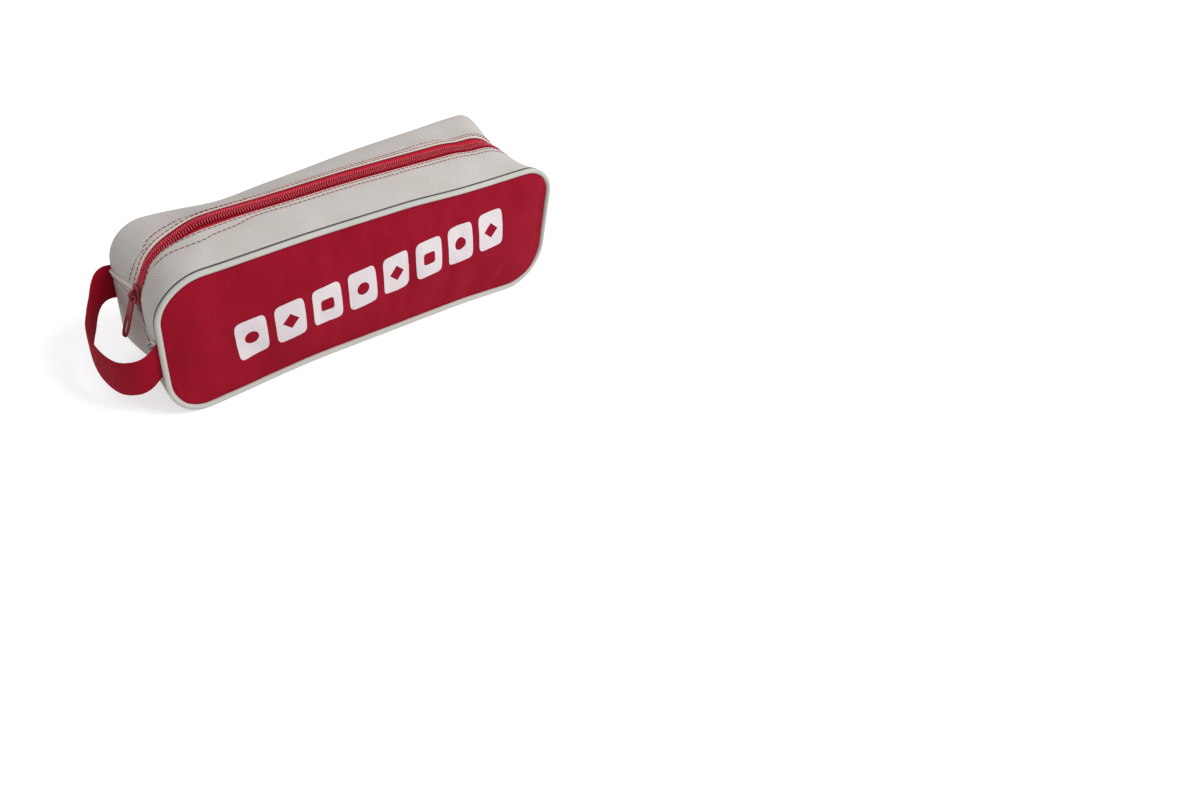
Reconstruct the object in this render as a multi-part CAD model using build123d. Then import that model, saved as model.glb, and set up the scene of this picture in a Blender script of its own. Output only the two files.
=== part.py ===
from build123d import *
import math
import os

# Soft zipped case for rummy tiles, in millimetres.
# X runs along its length, the front panel faces -Y, +Z is up.
# The origin is on the face that it rests on, under the middle of the zip.

# Outer form
case_length = 286.0
case_height = 96.0
case_depth = 80.0
panel_corner_radius = 30.0
end_sink = 5.0
end_seam_drop = 2.6

# How the filled case has settled at the ends of its side seams
rear_left_tuck = 4.0
rear_left_sag = 3.5
rear_right_lean = 7.0
rear_right_lift = 6.0
front_right_sag = 3.0

# Cloth and seams
cloth_thickness = 1.2
panel_thickness = 1.6
layer_gap = 0.1
binding_thickness = 0.7
binding_width = 7.0
flange_thickness = 0.8
flange_width = 10.0
end_binding_height = 9.0

# Piping: a folded cover sewn round a cord
piping_diameter = 3.4
piping_cover_thickness = 0.45
piping_cord_slack = 0.05

# Mouth: the two upper gusset strips and the zip between them
mouth_crown = 2.6
mouth_corner_radius = 42.0
mouth_end_setback = 3.0
mouth_end_gap = 0.3
zip_window_half = 7.0

# Zip tape and coil
tape_width = 15.0
tape_thickness = 0.6
tape_centre_gap = 0.5
coil_half_width = 3.0
coil_spine_width = 0.9
coil_spine_height = 1.3
coil_tooth_height = 2.0
coil_pitch = 2.5
tooth_neck_width = 0.7
tooth_head_width = 1.5
tooth_head_start = 0.3
tooth_head_end = 1.1
tooth_end_margin = 1.6

# Slider, in its own frame: x along the zip, z out of the tape
slider_length = 12.0
slider_nose_width = 9.4
slider_tail_width = 8.4
slider_plate_thickness = 1.1
slider_corner_radius = 1.6
slider_top_clearance = 0.3
slider_side_clearance = 0.3
slider_tape_clearance = 0.6
slider_rim_height = 1.5
slider_post_length = 3.6
slider_post_width = 1.8
slider_start_angle = 8.2
post_tape_clearance = 0.5
bridge_inner_radius = 1.9
bridge_thickness = 1.2
bridge_width = 2.0

# Puller
puller_length = 27.0
puller_width = 7.2
puller_neck_width = 4.4
puller_eye_width = 7.0
puller_thickness = 1.4
puller_bar_clearance = 0.35
puller_side_clearance = 1.1
puller_tab_length = 17.0
puller_slot_length = 8.5
puller_slot_width = 2.6
puller_rim = 2.2
puller_lean = 12.0

# Handle: one loop of flat webbing, sewn into the front and rear seams
webbing_width = 24.0
webbing_thickness = 1.6
handle_reach = 31.0
handle_droop = 37.0
handle_rise = 13.0
handle_top_height = 58.5
handle_end_gap = 0.4

# The two ends and faces. A side seam leans back and rises by these at its left and right ends
left, right = -1, 1
front, rear = -1, 1
seam_lean = {front: (0.0, 0.0), rear: (-rear_left_tuck, rear_right_lean)}
seam_rise = {front: (0.0, -front_right_sag), rear: (-rear_left_sag, rear_right_lift)}

# Places that follow from the sizes above
half_length = case_length / 2
seam_y = case_depth / 2 - piping_diameter
piping_centre_y = case_depth / 2 - piping_diameter / 2
ridge_height = case_height + mouth_crown
corner_x = half_length - end_sink - mouth_corner_radius
corner_z = ridge_height - mouth_corner_radius
end_seam_height = corner_z - end_seam_drop
mouth_half_length = corner_x - mouth_end_setback
tape_depth = cloth_thickness + layer_gap
tape_top_radius = mouth_corner_radius - tape_depth
coil_root = coil_half_width - coil_spine_width


def face_at(y):
    return front if y < 0 else rear


def slack_at(slack, x, blend):
    """Lean or rise at x, between a seam's two ends. It fades out towards the zip."""
    left_end, right_end = slack
    return (1 - blend) * (left_end + (right_end - left_end) * (x + half_length) / case_length)


def section_plane(y, blend):
    """Section plane across the depth of the case, with local x along it and local y as Z."""
    lean = seam_lean[face_at(y)]
    left_y = y + slack_at(lean, -half_length, blend)
    right_y = y + slack_at(lean, half_length, blend)
    along = Vector(case_length, right_y - left_y, 0)
    across = Vector(along.Y, -along.X, 0)
    return Plane(origin=(0, (left_y + right_y) / 2, 0), x_dir=along, z_dir=across)


def blend_at(y):
    """How far from the side seam (0) to the zip's edge (1) a section lies."""
    return max(0, (seam_y - abs(y)) / (seam_y - zip_window_half))


def outline(y, depth, blend):
    """Closed outline of the gusset at y, set in by depth from its outer face.

    Towards the zip its top rises, its ends sink in and its upper corners widen.
    The top's tilt grows as its flat stretch gets shorter, so that all layers stay parallel.
    """
    rise = seam_rise[face_at(y)]
    top = case_height + blend * mouth_crown - depth
    half_width = half_length - blend * end_sink - depth
    upper_radius = panel_corner_radius + blend * (mouth_corner_radius - panel_corner_radius)
    half_flat = half_length - blend * end_sink - upper_radius
    tilt_x = half_width * (half_length - panel_corner_radius) / half_flat
    left_top = top + slack_at(rise, -tilt_x, blend)
    right_top = top + slack_at(rise, tilt_x, blend)
    base = [(-half_width, depth), (half_width, depth)]
    shape = make_face(Polyline(*base, (half_width, right_top), (-half_width, left_top), close=True))
    upper = shape.vertices().sort_by(Axis.Y)[2:]
    shape = fillet(upper, upper_radius - depth)
    lower = shape.vertices().sort_by(Axis.Y)[:2]
    shape = fillet(lower, panel_corner_radius - depth)
    return section_plane(y, blend) * shape


def gusset_block(start_y, end_y, depth, start_blend, end_blend):
    """Solid inside the gusset's face between two sections."""
    sections = [outline(start_y, depth, start_blend), outline(end_y, depth, end_blend)]
    return loft(sections, ruled=True)


def gusset_layer(start_y, end_y, outer_depth, inner_depth, start_blend, end_blend):
    """Ring of cloth between two depths and two sections."""
    outer = gusset_block(start_y, end_y, outer_depth, start_blend, end_blend)
    inner = gusset_block(start_y, end_y, inner_depth, start_blend, end_blend)
    return outer - inner


def stretch_box(start_x, end_x, bottom, top):
    """Box that picks one stretch of a ring."""
    middle = ((start_x + end_x) / 2, 0, (bottom + top) / 2)
    return Pos(*middle) * Box(end_x - start_x, 2 * case_depth, top - bottom)


def mouth_stretch(ring):
    """The part of a ring that lifts with the mouth."""
    return ring & stretch_box(-mouth_half_length, mouth_half_length, corner_z, 2 * case_height)


def corner_stretch(ring, side):
    """The part of a ring from the mouth's end round the corner to the end seam."""
    near = mouth_half_length + mouth_end_gap
    start_x, end_x = sorted((side * near, side * case_length))
    return ring & stretch_box(start_x, end_x, end_seam_height + layer_gap, 2 * case_height)


def seam_layer(start_y, end_y, outer_depth, inner_depth):
    """Ring that lies under the gusset beside a side seam."""
    start_blend = blend_at(start_y)
    end_blend = blend_at(end_y)
    return gusset_layer(start_y, end_y, outer_depth, inner_depth, start_blend, end_blend)


def panel(face):
    shape = outline(face * piping_centre_y, piping_diameter + layer_gap, 0)
    return extrude(shape, panel_thickness / 2, both=True)


def piping_round(face, radius):
    """Round section swept all the way round a panel."""
    path = outline(face * piping_centre_y, piping_diameter / 2, 0).face().outer_wire()
    section = Plane(origin=path @ 0, z_dir=path % 0) * Circle(radius)
    return sweep(section, path=path)


def piping_cover(face):
    """Cover folded round the cord, with a flange that is sewn into the seam."""
    outer_depth = cloth_thickness + binding_thickness + 2 * layer_gap
    inner_depth = outer_depth + flange_thickness
    flange_y = piping_centre_y - flange_width
    root = seam_layer(face * piping_centre_y, face * seam_y, outer_depth, inner_depth)
    flange = seam_layer(face * seam_y, face * flange_y, outer_depth, inner_depth)
    bore = piping_round(face, piping_diameter / 2 - piping_cover_thickness)
    return piping_round(face, piping_diameter / 2) + root + flange - bore


def piping_cord(face):
    return piping_round(face, piping_diameter / 2 - piping_cover_thickness - piping_cord_slack)


def seam_binding(face):
    """Tape folded over the raw edges of a side seam, inside the case."""
    outer_depth = cloth_thickness + layer_gap
    inner_depth = outer_depth + 2 * binding_thickness + flange_thickness + 2 * layer_gap
    fold_y = piping_centre_y - flange_width - layer_gap
    inner_y = fold_y - binding_thickness
    outer_y = inner_y + binding_width
    whole = seam_layer(face * outer_y, face * inner_y, outer_depth, inner_depth)
    pocket_outer = outer_depth + binding_thickness
    pocket_inner = inner_depth - binding_thickness
    return whole - seam_layer(face * outer_y, face * fold_y, pocket_outer, pocket_inner)


def whole_layer(edge_y, outer_depth, inner_depth):
    """Ring from a front edge to its rear twin, with both slopes and the level middle."""
    start_blend = blend_at(edge_y)
    ring = gusset_layer(-zip_window_half, zip_window_half, outer_depth, inner_depth, 1, 1)
    for face in (front, rear):
        edge, window = face * edge_y, face * zip_window_half
        ring = ring + gusset_layer(edge, window, outer_depth, inner_depth, start_blend, 1)
    return ring


def base_gusset():
    ring = whole_layer(seam_y, 0, cloth_thickness)
    return ring & stretch_box(-case_length, case_length, -case_height, end_seam_height)


def strip_ring(face):
    """Gusset cloth from a side seam to the zip's window."""
    return gusset_layer(face * seam_y, face * zip_window_half, 0, cloth_thickness, 0, 1)


def tape_ring(face):
    """Zip tape: one half under the strip, the other half open in the window."""
    inner_depth = tape_depth + tape_thickness
    outer_y = tape_width + tape_centre_gap
    window_y = face * zip_window_half
    centre_y = face * tape_centre_gap
    start_blend = blend_at(outer_y)
    covered = gusset_layer(face * outer_y, window_y, tape_depth, inner_depth, start_blend, 1)
    return covered + gusset_layer(window_y, centre_y, tape_depth, inner_depth, 1, 1)


def zip_tooth(face):
    """One tooth, its root on its own face's side, on the tape's face at z = 0."""
    neck_start = -coil_root - coil_spine_width / 2
    neck = Pos(0, (neck_start + tooth_head_start) / 2) * Rectangle(
        tooth_neck_width, tooth_head_start - neck_start
    )
    head_middle = (tooth_head_start + tooth_head_end) / 2
    head = Pos(0, head_middle) * Rectangle(tooth_head_width, tooth_head_end - tooth_head_start)
    tooth = extrude(neck + head, coil_tooth_height)
    return tooth if face == front else mirror(tooth, about=Plane.XZ)


def spine_ring(face):
    top_depth = tape_depth - coil_spine_height
    return gusset_layer(face * coil_half_width, face * coil_root, top_depth, tape_depth, 1, 1)


def mouth_tooth_places(shift):
    """Places of the teeth on the straight stretch, shift in pitches."""
    count = int((mouth_half_length - tooth_end_margin) / coil_pitch)
    height = ridge_height - tape_depth
    steps = range(-count, count)
    return [Pos((step + 0.5 + shift) * coil_pitch, 0, height) for step in steps]


def zip_frame(angle, side=left):
    """Frame on the tape's face round a corner, angle up from the end of the case.

    Its x runs up along the zip at the left corner, its z points out of the case.
    """
    turn = math.radians(angle)
    out = Vector(side * math.cos(turn), 0, math.sin(turn))
    origin = Vector(side * corner_x, 0, corner_z) + out * tape_top_radius
    along = Vector(-side * math.sin(turn), 0, math.cos(turn)) * -side
    return Plane(origin=origin, x_dir=along, z_dir=out)


def corner_tooth_places(side, shift, start_angle):
    """Places of the teeth round one corner, up to the mouth's end."""
    step_angle = math.degrees(coil_pitch / tape_top_radius)
    count = int((90 - start_angle) / step_angle)
    angles = [start_angle + (step + 0.5 + shift) * step_angle for step in range(count)]
    return [zip_frame(angle, side) for angle in angles]


def row_shift(face):
    """The rear row of teeth stands half a pitch along from the front row."""
    return 0.0 if face == front else 0.5


def mouth_coil(face):
    teeth = [place * zip_tooth(face) for place in mouth_tooth_places(row_shift(face))]
    return mouth_stretch(spine_ring(face)) + teeth


def corner_coil(face, side, start_angle):
    places = corner_tooth_places(side, row_shift(face), start_angle)
    teeth = [place * zip_tooth(face) for place in places]
    return corner_stretch(spine_ring(face), side) + teeth


def post_slot():
    """Room between the two tapes for the slider's post, where the zip is parted."""
    width = slider_post_width + 2 * post_tape_clearance
    height = parted_height() - end_seam_height
    middle = (-half_length, 0, end_seam_height + height / 2)
    return Pos(*middle) * Box(mouth_corner_radius, width, height)


def parted_height():
    """Height up to which the coil is parted by the slider's post."""
    turn = math.radians(slider_start_angle)
    return corner_z + tape_top_radius * math.sin(turn)


def end_binding(side):
    """Tape over the raw edges of an end seam, inside the case."""
    outer_depth = tape_depth + tape_thickness + layer_gap
    edge_y = piping_centre_y - flange_width - binding_thickness - layer_gap
    ring = whole_layer(edge_y, outer_depth, outer_depth + binding_thickness)
    start_x, end_x = sorted((side * corner_x, side * case_length))
    return ring & stretch_box(start_x, end_x, end_seam_height - end_binding_height, end_seam_height)


def slider_outline():
    """Plate outline, wide at the nose (-x) and narrower at the tail."""
    half_nose = slider_nose_width / 2
    half_tail = slider_tail_width / 2
    half = slider_length / 2
    corners = [(-half, -half_nose), (half, -half_tail), (half, half_tail), (-half, half_nose)]
    plate = make_face(Polyline(*corners, close=True))
    return fillet(plate.vertices(), slider_corner_radius)


def zip_slider():
    """Two plates round the chain, a post at the nose and a bridge for the puller."""
    top_z = coil_tooth_height + slider_top_clearance
    bottom_z = -tape_thickness - slider_tape_clearance
    plate = slider_outline()
    top_plate = Pos(0, 0, top_z) * extrude(plate, slider_plate_thickness)
    bottom_plate = Pos(0, 0, bottom_z - slider_plate_thickness) * extrude(plate, slider_plate_thickness)
    channel = Rectangle(2 * slider_length, 2 * (coil_half_width + slider_side_clearance))
    rims = Pos(0, 0, top_z - slider_rim_height) * extrude(plate - channel, slider_rim_height)
    post_face = Pos(-slider_length / 2 + slider_post_length / 2) * Ellipse(
        slider_post_length / 2, slider_post_width / 2
    )
    post = Pos(0, 0, bottom_z) * extrude(post_face, top_z - bottom_z)
    body = top_plate + bottom_plate + rims + post
    return body + slider_bridge()


def puller_axis_height():
    """Height of the puller's bar above the tape's face."""
    top = coil_tooth_height + slider_top_clearance + slider_plate_thickness
    return top + puller_bar_clearance + puller_thickness / 2


def slider_bridge():
    """Half ring round the puller's bar, with a straight leg at each end."""
    outer_radius = bridge_inner_radius + bridge_thickness
    leg = puller_axis_height() - coil_tooth_height - slider_top_clearance
    arch = Circle(outer_radius) + Pos(0, -leg / 2) * Rectangle(2 * outer_radius, leg)
    hole = Circle(bridge_inner_radius) + Pos(0, -leg / 2) * Rectangle(2 * bridge_inner_radius, leg)
    below = Pos(0, -leg - outer_radius) * Rectangle(4 * outer_radius, 2 * outer_radius)
    side_plane = Plane(origin=(0, 0, puller_axis_height()), x_dir=(1, 0, 0), z_dir=(0, -1, 0))
    return extrude(side_plane * (arch - hole - below), bridge_width / 2, both=True)


def zip_puller():
    """Flat tab that hangs to -x from a bar on the Y axis of the slider's frame."""
    bar_radius = puller_thickness / 2
    window_start = bar_radius
    window_end = bridge_inner_radius + bridge_thickness + puller_side_clearance / 2
    window_half = bridge_width / 2 + puller_side_clearance
    eye_end = window_end + puller_rim / 2
    eye = Pos(-eye_end / 2) * Rectangle(eye_end, puller_eye_width)
    neck_end = puller_length - puller_tab_length + puller_width / 2
    neck = Pos(-neck_end / 2) * Rectangle(neck_end, puller_neck_width)
    tab_middle = -puller_length + puller_tab_length / 2
    tab_corner = puller_width / 2 - layer_gap
    tab = Pos(tab_middle) * RectangleRounded(puller_tab_length, puller_width, tab_corner)
    window_middle = -(window_start + window_end) / 2
    window = Pos(window_middle) * Rectangle(window_end - window_start, 2 * window_half)
    slot_middle = -puller_length + puller_rim + puller_slot_length / 2
    slot = Pos(slot_middle) * SlotOverall(puller_slot_length, puller_slot_width)
    plate = extrude(eye + neck + tab - window - slot, puller_thickness / 2, both=True)
    bar = Rot(90, 0, 0) * Cylinder(bar_radius, puller_eye_width)
    return plate + bar


def handle_webbing():
    """Loop that droops from the end of the case, its rear end sewn in higher."""
    droop = math.radians(handle_droop)
    span = 2 * seam_y - rear_left_tuck
    rise = math.atan2(handle_rise, span)
    across = Vector(0, math.cos(rise), math.sin(rise))
    out = Vector(-math.cos(droop), 0, -math.sin(droop))
    out = out - across * out.dot(across)
    origin = (-half_length - handle_end_gap, -rear_left_tuck / 2, handle_top_height)
    plane = Plane(origin=origin, x_dir=out, z_dir=out.cross(across))
    half = webbing_thickness / 2
    half_span = (span / 2 - half) / math.cos(rise)
    loop = Ellipse(handle_reach + half, half_span + half) - Ellipse(handle_reach - half, half_span - half)
    outer_half = Pos(handle_reach) * Rectangle(2 * handle_reach, 4 * half_span)
    band = extrude(plane * (loop & outer_half), webbing_width, dir=(0, 0, -1))
    beside = Pos(-half_length - handle_end_gap - case_length / 2, 0, 0) * Box(
        case_length, 2 * case_depth, 4 * case_height
    )
    return band & beside


def write_part(name, shape):
    solids = shape.solids()
    piece = solids[0] if len(solids) == 1 else Compound(children=list(solids))
    piece.label = name
    export_step(piece, f"parts/{name}.step")


def main():
    os.makedirs("parts", exist_ok=True)
    for face, name in ((front, "front"), (rear, "rear")):
        strip = strip_ring(face)
        tape = tape_ring(face)
        write_part(f"{name}_panel", panel(face))
        write_part(f"{name}_piping_cover", piping_cover(face))
        write_part(f"{name}_piping_cord", piping_cord(face))
        write_part(f"{name}_seam_binding", seam_binding(face))
        write_part(f"{name}_mouth_strip", mouth_stretch(strip))
        write_part(f"{name}_mouth_zip_tape", mouth_stretch(tape))
        write_part(f"{name}_mouth_zip_coil", mouth_coil(face))
        write_part(f"{name}_strip_left_corner", corner_stretch(strip, left))
        write_part(f"{name}_strip_right_corner", corner_stretch(strip, right))
        write_part(f"{name}_zip_tape_left_corner", corner_stretch(tape, left) - post_slot())
        write_part(f"{name}_zip_tape_right_corner", corner_stretch(tape, right))
        write_part(f"{name}_zip_coil_left_corner", corner_coil(face, left, slider_start_angle))
        write_part(f"{name}_zip_coil_right_corner", corner_coil(face, right, 0))
    write_part("base_gusset", base_gusset())
    write_part("left_end_binding", end_binding(left))
    write_part("right_end_binding", end_binding(right))
    slider_place = zip_frame(slider_start_angle)
    bar_place = slider_place * Pos(0, 0, puller_axis_height())
    write_part("zip_slider", slider_place * zip_slider())
    write_part("zip_puller", bar_place * Rot(0, puller_lean, 0) * zip_puller())
    write_part("handle_webbing", handle_webbing())
    print("slider turns about", -corner_x, 0, corner_z)
    print("puller turns about", (bar_place * Vertex(0, 0, 0)).center())


main()
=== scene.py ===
import math

import bmesh
import bpy
from mathutils import Matrix, Vector
from mathutils.bvhtree import BVHTree
from mathutils.geometry import interpolate_bezier
from mathutils.noise import noise


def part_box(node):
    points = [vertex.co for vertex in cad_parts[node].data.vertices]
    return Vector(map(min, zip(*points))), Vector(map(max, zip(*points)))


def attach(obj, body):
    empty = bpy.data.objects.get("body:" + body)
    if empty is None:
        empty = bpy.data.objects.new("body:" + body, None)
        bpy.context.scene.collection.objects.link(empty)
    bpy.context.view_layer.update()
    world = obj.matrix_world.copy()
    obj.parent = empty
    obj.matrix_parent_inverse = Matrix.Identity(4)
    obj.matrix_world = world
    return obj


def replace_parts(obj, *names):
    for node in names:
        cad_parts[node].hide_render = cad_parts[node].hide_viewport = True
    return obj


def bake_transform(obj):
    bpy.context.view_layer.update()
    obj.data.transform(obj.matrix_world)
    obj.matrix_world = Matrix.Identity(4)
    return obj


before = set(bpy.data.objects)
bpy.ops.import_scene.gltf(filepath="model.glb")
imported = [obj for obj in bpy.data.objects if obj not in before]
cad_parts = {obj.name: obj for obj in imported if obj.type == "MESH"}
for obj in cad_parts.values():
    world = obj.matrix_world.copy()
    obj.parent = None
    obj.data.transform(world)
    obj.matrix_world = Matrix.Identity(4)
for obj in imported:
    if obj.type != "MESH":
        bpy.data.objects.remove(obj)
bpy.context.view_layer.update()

# Soft zipped case for rummy tiles, in metres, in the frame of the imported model.
# X runs along the case, -Y is its front, +Z is up, and it rests on z = 0.

mm = 0.001
left, right = -1, 1
front, rear = -1, 1
end_names = {left: "left", right: "right"}
face_names = {front: "front", rear: "rear"}

# Sizes read from the frame
cover_low, cover_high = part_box("front_piping_cover")
strip_low, strip_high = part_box("front_mouth_strip")
half_length = cover_high[0]
half_depth = -cover_low[1]
case_height = cover_high[2]
mouth_rise = strip_high[2] - case_height
zip_edge = {front: -strip_high[1], rear: -strip_high[1] + 0.8 * mm}
middle = Vector((0, 0, case_height / 2))

# Outer form
piping_radius = 1.7 * mm
seam_y = half_depth - 2 * piping_radius
piping_y = half_depth - piping_radius
end_sink = 5.0 * mm
upper_seam_radius = {
    (front, left): 31 * mm, (front, right): 24 * mm, (rear, left): 22 * mm, (rear, right): 19 * mm,
}
upper_zip_radius = {left: 42 * mm, right: 32 * mm}
lower_radius = {left: 24 * mm, right: 30 * mm}
cloth_thickness = 0.5 * mm

# The rear strips puff up over their seam, which lies this far in from the outline
seam_sink = {front: 0.0, rear: 3.4 * mm}
shoulder_width = 3.2 * mm

# How the filled case has settled, in millimetres. A stretch is (start, run): what it
# shapes grows from its start over its run. A dent is (middle, width).
front_droop, more_droop_right, more_droop_left = 3.6, 1.2, 3.2
droop_stretches = {right: (20 * mm, 50 * mm), left: (-20 * mm, -100 * mm)}
zip_arch, zip_dent = 1.9, 2.8
arch_stretches = ((-60 * mm, 70 * mm), (100 * mm, -20 * mm))
zip_dent_place = (-112 * mm, 14 * mm)
foot_bow, foot_bow_lift, left_toe = 1.5, 1.3, 3.0
bow_stretches = ((-95 * mm, 60 * mm), (125 * mm, -60 * mm))
toe_stretch = (-70 * mm, -60 * mm)
rear_lean = {left: -3.4 * mm, right: 7.0 * mm}
rear_lift = {left: -2.4 * mm, right: 7.2 * mm}
rear_stretch = (-90 * mm, 233 * mm)
rear_dent = 3.0 * mm
rear_dent_place = (-72 * mm, 26 * mm)
seam_wave = 0.8 * mm
right_bulge = 1.2 * mm
bulge_stretch = (112 * mm, 30 * mm)
foot_height = 45 * mm
upper_edge_stretch = (foot_height, 51 * mm)

# The end seams, whose left one steps down from the rear to the front at the zip
right_seam_height, right_seam_tilt = 54 * mm, 0.03
left_seam_low, left_seam_high = 38.5 * mm, 65.5 * mm
left_step_stretch = (-6 * mm, 16 * mm)
left_front_rise, left_rear_tilt = 13.5 * mm, 0.06
left_front_stretch = (-14 * mm, -21 * mm)

# How much the strips are drawn to the zip at each end, and over which stations
zip_pull = {left: 3.6 * mm, right: 2.4 * mm}
pull_stretch = {left: (0.9, 0.7), right: (1.5, 0.6)}
# At the left end they also lie nearer the front at two stations: (shift, station, width)
front_shifts = ((2.0, 1.0, 0.22), (1.6, 1.72, 0.09))

# The front strip closes over the lower end of the zip at the left end
closing_reach, closing_width = 10.5 * mm, 9 * mm
closing_stretch = (1.9, 0.12)

# Rows of stitches below the folded edge of each end seam
end_rows = (2.0 * mm, 5.0 * mm)

# Hem of the upper strips beside the zip
fold_radius = 0.55 * mm
hem_width = 9.0 * mm
inner_row_gap = 1.6 * mm

# How the outer row of stitches wanders, in millimetres: its gap from the fold in the
# middle, then steps of (change, start, run) and bumps of (change, place, width) along it
outer_row = {
    front: (4.5, ((2.7, -66, -18), (1.6, -92, -12), (-1.4, -108, -20), (-4.4, -130, -13)), ()),
    rear: (
        4.6, ((-1.0, 80, 12), (-0.8, -50, -14), (2.0, -98, -8)),
        ((1.5, 72, 11), (-1.0, -94, 7), (-2.4, -134, 5)),
    ),
}

# Zip
tape_depth = 1.1 * mm
tape_width = 15.0 * mm
tape_thickness = 0.6 * mm
tooth_pitch = 1.7 * mm
chain_shift = 0.7 * mm
# Station where the teeth end at the left, inside the slider at rest
zip_stop = 1.89

# Stitches: half their size, their pitch and how far they stand out
stitch_half_size = (1.5 * mm, 0.3 * mm, 0.26 * mm)
stitch_pitch = 3.2 * mm
hem_stitch_lift, end_stitch_lift = 0.22 * mm, 0.25 * mm


def mix(start, end, share):
    return start + (end - start) * share


def clamp(value, low=0.0, high=1.0):
    return max(low, min(high, value))


def ramp(value, start, run):
    """Smooth step: 0 up to start, 1 from a run further on. A negative run goes down."""
    share = clamp((value - start) / run)
    return share * share * (3 - 2 * share)


def bell(value, centre, width):
    """Smooth bump of height 1."""
    return math.exp(-((value - centre) / width) ** 2)


def signed_power(value, power):
    return math.copysign(abs(value) ** power, value)


def spaced(start, end, step):
    """Even steps from start to end, no longer than step."""
    count = max(1, math.ceil(abs(end - start) / step))
    return [mix(start, end, number / count) for number in range(count + 1)]


def ripple(*place, size):
    """Soft seeded unevenness from -1 to 1."""
    return noise(Vector(place) / size)


# --- The case's form: every soft piece is laid on it ---


def face_of(y):
    return front if y < 0 else rear


def zip_way(y):
    """0 at the side seams, 1 at the zip."""
    return clamp((seam_y - abs(y)) / (seam_y - zip_edge[face_of(y)]))


def outline_sizes(side, y):
    way = zip_way(y)
    end_x = half_length - end_sink * way
    top = case_height + mouth_rise * way
    upper = mix(upper_seam_radius[face_of(y), side], upper_zip_radius[side], way)
    return end_x, top, upper, lower_radius[side]


def outline_at(side, station, y):
    """Place and outward direction on one half of the outline.

    Stations: 0 is the middle of the top, 1 to 2 the upper corner,
    3 to 4 the lower corner and 5 the middle of the base.
    """
    end_x, top, upper, lower = outline_sizes(side, y)
    if station <= 1:
        x, z, turn = station * (end_x - upper), top, 0
    elif station <= 2:
        turn = (station - 1) * math.pi / 2
        x = end_x - upper + upper * math.sin(turn)
        z = top - upper + upper * math.cos(turn)
    elif station <= 3:
        x, z, turn = end_x, mix(top - upper, lower, station - 2), math.pi / 2
    elif station <= 4:
        turn = (station - 2) * math.pi / 2
        x = end_x - lower + lower * math.sin(turn)
        z = lower + lower * math.cos(turn)
    else:
        x, z, turn = (end_x - lower) * (5 - station), 0, math.pi
    return Vector((side * x, y, z)), Vector((side * math.sin(turn), 0, math.cos(turn)))


def station_at(side, distance, y):
    """Station at a distance from the middle of the top, measured along the outline."""
    end_x, top, upper, lower = outline_sizes(side, y)
    quarter = math.pi / 2
    stretches = (end_x - upper, upper * quarter, top - upper - lower, lower * quarter, end_x - lower)
    for number, length in enumerate(stretches):
        if distance <= length:
            return number + distance / length
        distance -= length
    return 5.0


def end_seam_height(side, y):
    if side == right:
        return right_seam_height + right_seam_tilt * y
    raised = left_front_rise * ramp(y, *left_front_stretch) + left_rear_tilt * max(0, y)
    return mix(left_seam_low, left_seam_high, ramp(y, *left_step_stretch)) + raised


def end_station(side, y):
    """Station of the end seam, which may reach up into the upper corner."""
    _, top, upper, lower = outline_sizes(side, y)
    drop = top - upper - end_seam_height(side, y)
    if drop < 0:
        return 1 + math.acos(-drop / upper) / (math.pi / 2)
    return 2 + drop / (top - upper - lower)


def settled(point):
    """The case's own slack: how a place on the stiff form moves on the soft one.

    The front's upper edge droops, most of all at the left end, where its foot comes
    forward. The zip arches, with a dent over the left corner. The back leans in and
    down at the left end, and out and up at the right end.
    """
    x, y, z = point
    high = ramp(z, 0, case_height)
    upper = ramp(z, *upper_edge_stretch)
    low = 1 - ramp(z, 0, foot_height)
    to_front = ramp(y, 0, -seam_y)
    to_back = ramp(y, 0, seam_y)
    to_zip = 1 - to_front - to_back
    droop = front_droop + more_droop_right * ramp(x, *droop_stretches[right])
    droop += more_droop_left * ramp(x, *droop_stretches[left])
    arch = zip_arch * ramp(x, *arch_stretches[0]) * ramp(x, *arch_stretches[1])
    arch -= zip_dent * bell(x, *zip_dent_place)
    bow = ramp(x, *bow_stretches[0]) * ramp(x, *bow_stretches[1]) * low * to_front
    toe = ramp(x, *toe_stretch) * low * to_front
    slack = ramp(x, *rear_stretch)
    lean = mix(rear_lean[left], rear_lean[right], slack) * to_back * mix(0.8, 1, high)
    lift = mix(rear_lift[left], rear_lift[right], slack) * to_back
    lift -= rear_dent * bell(x, *rear_dent_place) * to_back
    wave = seam_wave * ripple(x, 0, 5 * mm, size=55 * mm) * (to_back + 0.5 * to_front)
    bulge = right_bulge * ramp(x, *bulge_stretch) * to_front
    rise = (lift + wave) * high - droop * mm * to_front * upper + arch * mm * to_zip * high
    forward = (foot_bow * bow - left_toe * toe) * mm
    return Vector((x + bulge, y + lean + forward, z + rise + foot_bow_lift * mm * bow))


def clear_of_base(station):
    """1 on the top and ends, fading to 0 where the case rests."""
    return ramp(station, 4.7, -0.9)


def seam_depth(station, y):
    """How far the cloth is drawn in by its side seam."""
    face = face_of(y)
    from_seam = seam_y - abs(y)
    drawn = 0.9 * mm * (1 - ramp(from_seam, 0, 2.2 * mm))
    if from_seam < shoulder_width:
        share = 1 - max(0.0, from_seam) / shoulder_width
        drawn += seam_sink[face] * (1 - math.sqrt(1 - share * share))
    return drawn * clear_of_base(station)


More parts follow.
